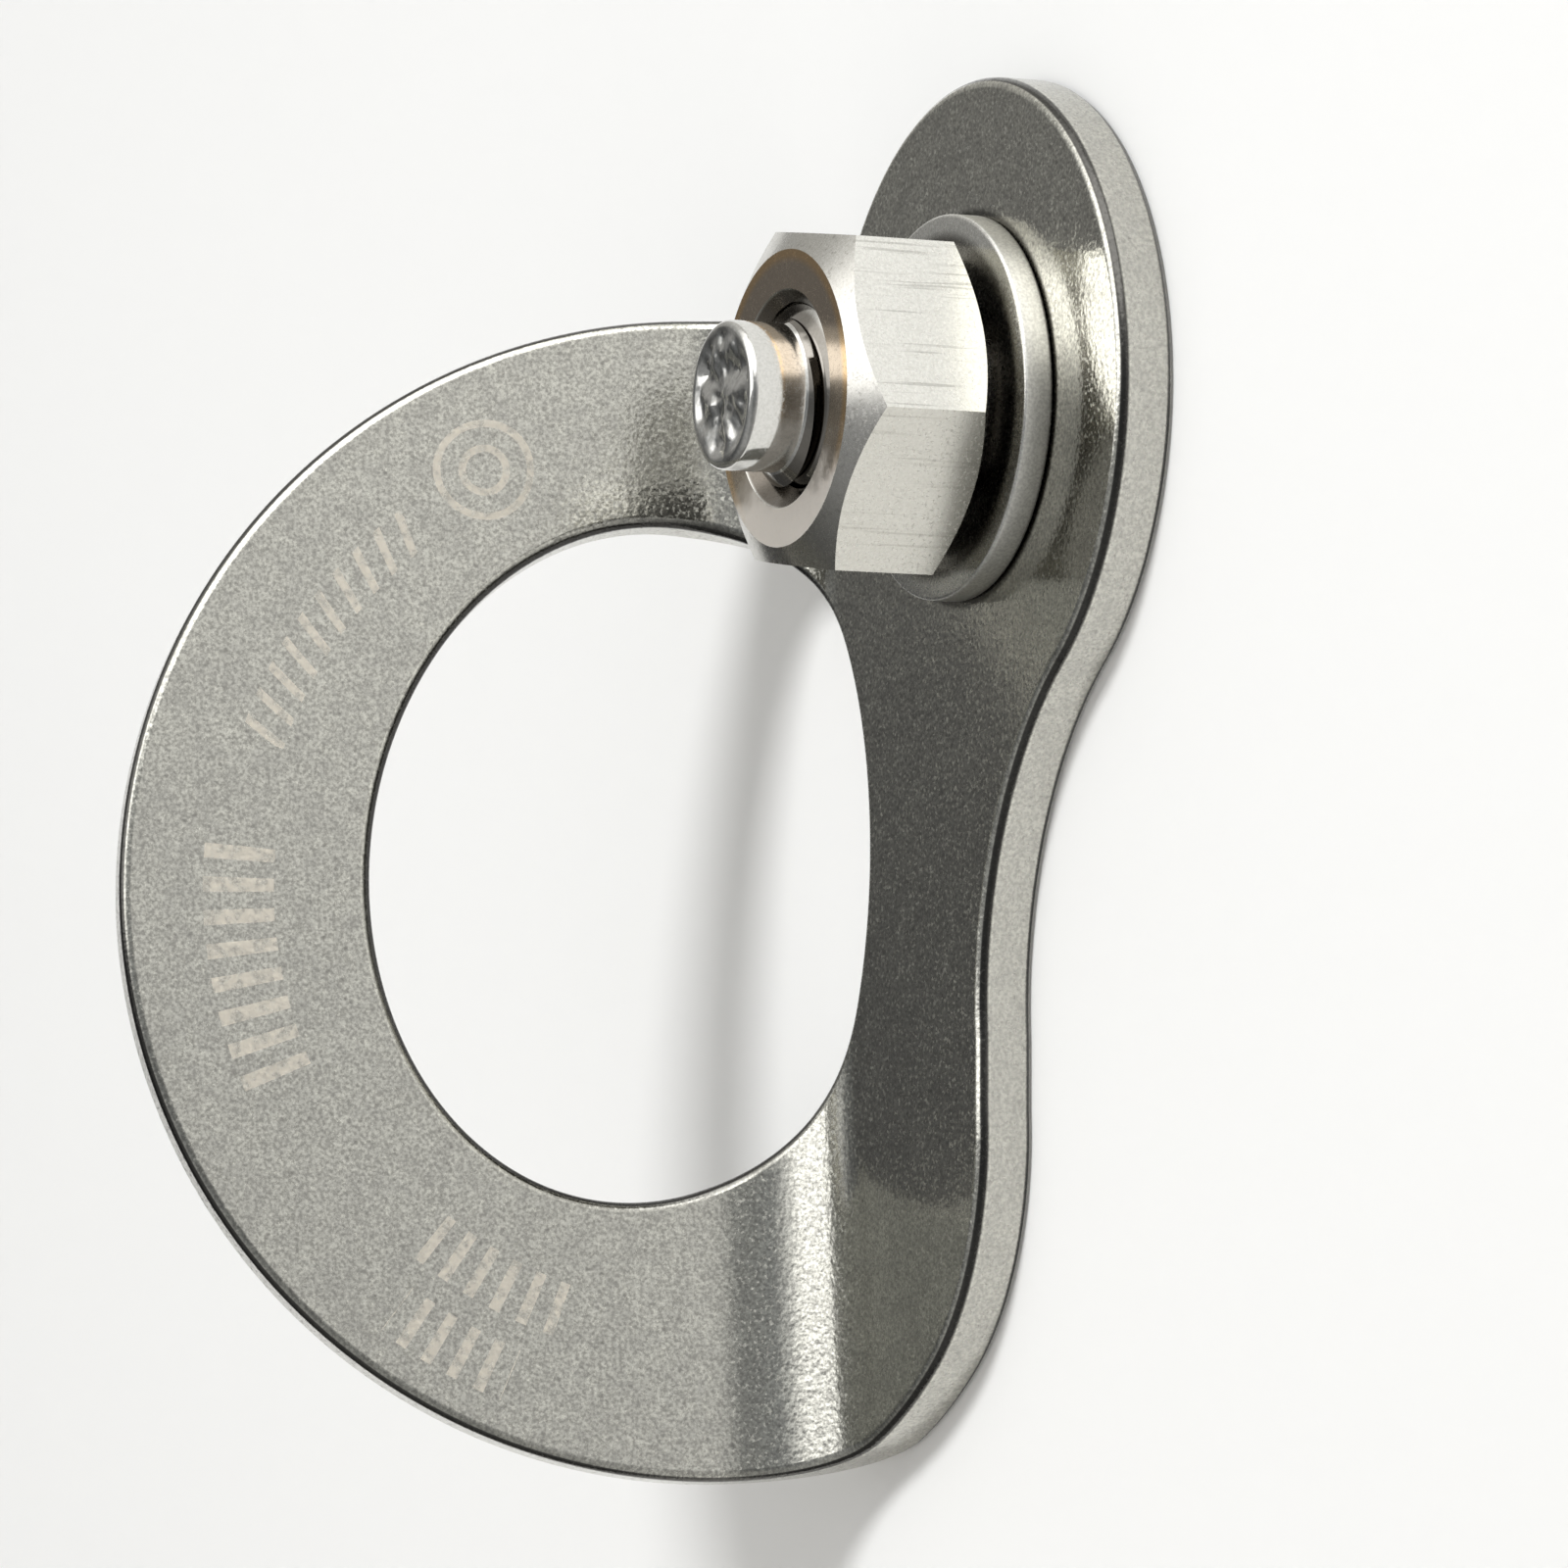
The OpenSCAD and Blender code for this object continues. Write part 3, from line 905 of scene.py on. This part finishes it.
def washer_material():
    """Stamped steel, rougher on its sheared rim, with painted shade on the face under the nut."""
    material, g, n = metal("stamped_steel", (0.70, 0.69, 0.65), (0.90, 0.89, 0.84), 0.22, 0.4,
                           0.006)
    radius, _ = from_axis(g, n["place"])
    # Painted shade: the washer's face is darkened under the nut and just past its flats, standing
    # in for the nut's shade and the dark gap between them.
    painted_shade = g.ramp(g.math("DIVIDE", radius, WASHER_R), [(0.86, 1.0), (0.93, 0.0)])
    rim = g.math("GREATER_THAN", radius, WASHER_R - 0.05)
    g.feed(n["base"], g.stain(n["tint"], painted_shade, 0.85, (0.10, 0.09, 0.075)))
    g.feed(n["roughness"], g.math("MULTIPLY_ADD", rim, 0.18, n["rough"]))
    return material


def nut_material():
    """Bright steel with fine lines round the flats and a few drawn streaks along them. Painted
    shade darkens the flats turned down, and more strongly those turned to the left; the front face
    is browned at the top with a painted highlight at the bottom; and painted shade darkens the
    bore."""
    material, g, n = metal("machined_steel", (0.78, 0.77, 0.72), (0.90, 0.89, 0.84), 0.20, 0.4,
                           0.002)
    place = n["place"]
    radius, split = from_axis(g, place)
    rounds = g.noise(g.stretched(place, (0.04, 1.0, 0.04)), 0.12, 2.0)
    streaks = g.noise(g.stretched(place, (1.0, 0.03, 1.0)), 0.35, 2.0, 0.7)
    streak = g.ramp(streaks, [(0.32, 1.0), (0.42, 0.0)])
    facing = g.split(g.put("ShaderNodeTexCoord").outputs["Normal"])
    leftward, forward, down = [g.math("MULTIPLY", axis, -1.0) for axis in facing]
    # Painted shade: flats facing down are given a darker tint.
    painted_underside_shade = g.ramp(down, [(0.2, 0.0), (0.55, 1.0)])
    frontal = g.ramp(forward, [(0.90, 0.0), (0.97, 1.0)])
    # Painted shade: flats facing left are tinted nearly black, standing in for the dark shaded side
    # that the wing mirrors.
    painted_left_shade = g.ramp(leftward, [(0.3, 0.0), (0.7, 1.0)])
    conical = g.ramp(forward, [(0.6, 0.0), (0.8, 1.0), (0.90, 1.0), (0.95, 0.0)])
    height = g.math("MULTIPLY_ADD", split[2], 0.5 / (NUT_FACE_R * MM), 0.5)
    height = g.math("SUBTRACT", height, 0.12)
    # Painted highlight: the bottom of the front face gets a near-white tint in place of the browned
    # one.
    low = g.ramp(g.math("MULTIPLY_ADD", g.noise(place, 1.5, 3.0), 0.25, height), [
        (0.14, 1.0), (0.34, 0.0),
    ])
    browned = g.ramp(g.math("DIVIDE", radius, NUT_FACE_R), [(0.90, BROWNED), (0.97, BROWNED_RIM)])
    face_tint = g.mix(low, browned, (*PAINTED_LOW_HIGHLIGHT, 1))
    # Painted shade: the bore and its countersinks are darkened, standing in for the shade inside
    # them.
    painted_shade = g.ramp(g.math("DIVIDE", radius, NUT_SINK_R), [(0.98, 1.0), (1.01, 0.0)])
    tint = g.stain(n["tint"], streak, 0.45, (0.35, 0.34, 0.31))
    tint = g.stain(tint, painted_underside_shade, 0.5, (0.50, 0.48, 0.42))
    tint = g.stain(tint, painted_left_shade, 0.75, (0.14, 0.14, 0.14))
    tint = g.stain(tint, conical, 0.4, (0.30, 0.28, 0.25))
    tint = g.mix(g.math("MULTIPLY", frontal, 0.9), tint, face_tint)
    tint = g.stain(tint, painted_shade, 0.85, (0.13, 0.105, 0.08))
    # The zone of the painted highlight, which is also made rougher.
    painted_highlight_zone = g.math("MULTIPLY", low, frontal)
    g.feed(n["bump"]["Height"], g.math("MULTIPLY_ADD", rounds, 0.7, streaks))
    g.feed(n["bump"]["Distance"], 0.0012 * MM)
    g.feed(n["base"], tint)
    g.feed(n["roughness"], g.math("MULTIPLY_ADD", painted_highlight_zone, 0.35, n["rough"]))
    return material


def stud_material():
    """Bright rolled steel, with painted shade in the thread's grooves."""
    material, g, n = metal("rolled_steel", (0.66, 0.655, 0.62), (0.76, 0.75, 0.72), 0.10, 0.6,
                           0.001)
    radius, split = from_axis(g, n["place"])
    threaded = g.math("GREATER_THAN", split[1], (TIP_TO - 0.1) * MM)
    # Painted shade: the thread's grooves are darkened, standing in for the shade down in them.
    deep = g.ramp(g.math("DIVIDE", radius, THREAD_R), [(0.90, 1.0), (0.975, 0.15)])
    outside = g.math("GREATER_THAN", radius, ROOT_R - 0.05)
    deep = g.math("MULTIPLY", g.math("MULTIPLY", deep, threaded), outside)
    g.feed(n["base"], g.stain(n["tint"], deep, 0.75, (0.14, 0.12, 0.095)))
    return material


def clip_material():
    return metal("strip_steel", (0.50, 0.50, 0.48), (0.64, 0.635, 0.61), 0.28, 0.4, 0.006)[0]


# ---------------------------------------------------------------- stage, light and camera
def quad(name, corners, material):
    mesh = bpy.data.meshes.new(name)
    mesh.from_pydata(corners, [], [(0, 1, 2, 3)])
    mesh.materials.append(material)
    thing = bpy.data.objects.new(name, mesh)
    bpy.context.scene.collection.objects.link(thing)
    return thing


def plain_material(name, shade, one_sided=False):
    """A plain pale surface. A one-sided one is clear from behind and to the faces lying on it, so
    it hides nothing there and leaves their reflections open."""
    material = bpy.data.materials.new(name)
    material.use_nodes = True
    g = Graph(material.node_tree)
    surface = g.put("ShaderNodeBsdfDiffuse", Color=(*shade, 1)).outputs[0]
    if one_sided:
        behind = g.put("ShaderNodeNewGeometry").outputs["Backfacing"]
        touching = g.math("LESS_THAN", g.put("ShaderNodeLightPath").outputs["Ray Length"], 0.5 * MM)
        clear = g.put("ShaderNodeBsdfTransparent").outputs[0]
        both = g.put("ShaderNodeMixShader")
        g.feed(both.inputs[0], g.math("MAXIMUM", behind, touching))
        g.feed(both.inputs[1], surface)
        g.feed(both.inputs[2], clear)
        surface = both.outputs[0]
    g.put("ShaderNodeOutputMaterial", Surface=surface)
    return material


def build_stage():
    far = STAGE_REACH
    wall = [(-far, FLOOR_Z), (far, FLOOR_Z), (far, far), (-far, far)]
    floor = [(-far, -far), (far, -far), (far, far), (-far, far)]
    paint = plain_material("wall_paint", (0.90, 0.905, 0.90), one_sided=True)
    quad("wall", [(x, WALL_Y, z) for x, z in wall], paint)
    paint = plain_material("floor_paint", (0.80, 0.775, 0.74))
    ground = quad("floor", [(x, y, FLOOR_Z) for x, y in floor], paint)
    ground.visible_glossy = False


def build_world():
    """Even light for dull surfaces. Shiny ones see a studio: dark to the left, a lamp straight in
    front of the wall that only first reflections see in full, a grey side to the right, and a
    bright patch above it that the nut's flats pick up."""
    world = bpy.data.worlds.new("studio")
    bpy.context.scene.world = world
    world.use_nodes = True
    g = Graph(world.node_tree)
    way = g.put("ShaderNodeTexCoord").outputs["Generated"]
    x, y, z = g.split(way)
    turn = g.math("ARCTAN2", x, g.math("MULTIPLY", y, -1.0))
    share = g.math("MULTIPLY_ADD", turn, 1 / math.tau, 0.5)
    up = g.math("MULTIPLY_ADD", z, 0.5, 0.5)

    def by_turn(stops):
        """A ramp over the turn from straight in front of the wall, in degrees to the right."""
        return g.ramp(share, [(0.5 + degrees / 360, shade) for degrees, shade in stops])

    around = by_turn([
        (-180, 0.30), (-100, 0.08), (-62, 0.050), (-42, (0.09, 0.093, 0.095)),
        (28, (0.155, 0.16, 0.165)), (60, (0.155, 0.158, 0.16)), (84, 0.345), (110, 0.40),
        (180, 0.30),
    ])
    lamp = by_turn([
        (-46, 0.0), (-34, 0.28), (-26, 0.75), (-18, 1.0), (7, 1.0), (14, 0.75), (22, 0.28),
        (34, 0.0),
    ])
    lamp = g.math("MULTIPLY", lamp, g.ramp(up, [(0.516, 0.15), (0.538, 1.0)]))
    path = g.put("ShaderNodeLightPath").outputs
    once = g.math("LESS_THAN", path["Glossy Depth"], 1.5)
    lamp_seen = g.math("MULTIPLY_ADD", once, 1 - SECOND_BOUNCE, SECOND_BOUNCE)
    seen = g.mix(g.math("MULTIPLY", lamp, lamp_seen), around, (1, 1, 1, 1))
    above = g.ramp(up, [
        (0.15, 0.3), (0.38, 0.0), (0.57, 0.0), (0.61, 0.12), (0.70, 0.3), (0.9, 0.6),
    ])
    seen = g.mix(above, seen, (0.35, 0.345, 0.33, 1))
    near = g.put("ShaderNodeVectorMath", {"operation": "DOT_PRODUCT"})
    g.feed(near.inputs[0], way)
    g.feed(near.inputs[1], NUT_GLOW_WAY)
    glow = g.ramp(near.outputs["Value"], [(0.83, 0.0), (0.94, 1.0)])
    seen = g.mix(glow, seen, (1, 1, 1, 1))
    rise = g.math("MULTIPLY_ADD", z, 1.75, 0.75)
    rise = g.math("MINIMUM", g.math("MAXIMUM", rise, 0.6), 1.3)
    strength = g.math("MULTIPLY", rise, REFLECTED_STRENGTH)
    below = g.ramp(up, [(0.30, (0.60, 0.56, 0.52)), (0.55, (1.05, 1.055, 1.055))])
    reflected = g.put("ShaderNodeBackground", Color=seen, Strength=strength)
    even = g.put("ShaderNodeBackground", Color=below, Strength=EVEN_STRENGTH)
    backdrop = g.put("ShaderNodeBackground", Color=(*BACKDROP, 1), Strength=1.0)

    def choose(ray, otherwise, then):
        pick = g.put("ShaderNodeMixShader")
        g.feed(pick.inputs[0], path[ray])
        g.feed(pick.inputs[1], otherwise.outputs[0])
        g.feed(pick.inputs[2], then.outputs[0])
        return pick

    lit = choose("Is Glossy Ray", even, reflected)
    shown = choose("Is Camera Ray", lit, backdrop)
    g.put("ShaderNodeOutputWorld", Surface=shown.outputs[0])


def area_light(name, place, target, size, watts, colour=(1, 1, 1)):
    data = bpy.data.lights.new(name, "AREA")
    data.shape = "DISK"
    data.size = size
    data.energy = watts
    data.color = colour
    lamp = bpy.data.objects.new(name, data)
    lamp.location = place
    lamp.rotation_mode = "QUATERNION"
    lamp.rotation_quaternion = (Vector(target) - Vector(place)).to_track_quat("-Z", "Y")
    lamp.visible_glossy = False
    bpy.context.scene.collection.objects.link(lamp)


def build_lights():
    middle = (cad_box[0] + cad_box[1]) / 2
    target = Vector((middle.x, 0, middle.z))
    area_light("key", target + Vector((0.22, -0.78, 0.45)), target, 0.28, 4.9)
    area_light("rear_fill", target + Vector((-0.4, 0.8, 0.5)), target, 0.5, 5.0)


def build_camera():
    """The viewpoint: to the right of the bolt, a little below it, with a long lens."""
    azimuth, elevation, roll = math.radians(64.79), math.radians(-8.38), math.radians(-1.88)
    distance, aim = 0.400, Vector((-7.95, -10.41, -18.70)) * MM
    level = math.cos(elevation)
    back = Vector((
        math.sin(azimuth) * level, -math.cos(azimuth) * level, math.sin(elevation)
    ))
    data = bpy.data.cameras.new("camera")
    data.sensor_width = 36.0
    data.lens = 176.85
    data.clip_start, data.clip_end = 0.02, 10.0
    camera = bpy.data.objects.new("camera", data)
    camera.location = aim + back * distance
    camera.rotation_mode = "QUATERNION"
    turn = (-back).to_track_quat("-Z", "Y")
    camera.rotation_quaternion = Matrix.Rotation(roll, 4, back).to_quaternion() @ turn
    bpy.context.scene.collection.objects.link(camera)
    bpy.context.scene.camera = camera


# ---------------------------------------------------------------- the scene
build_plate().data.materials.append(plate_material())
build_washer().data.materials.append(washer_material())
build_nut().data.materials.append(nut_material())
build_stud().data.materials.append(stud_material())
strip = clip_material()
for part in build_clip():
    part.data.materials.append(strip)
build_stage()
build_world()
build_lights()
build_camera()
bpy.context.scene.view_settings.view_transform = "Standard"
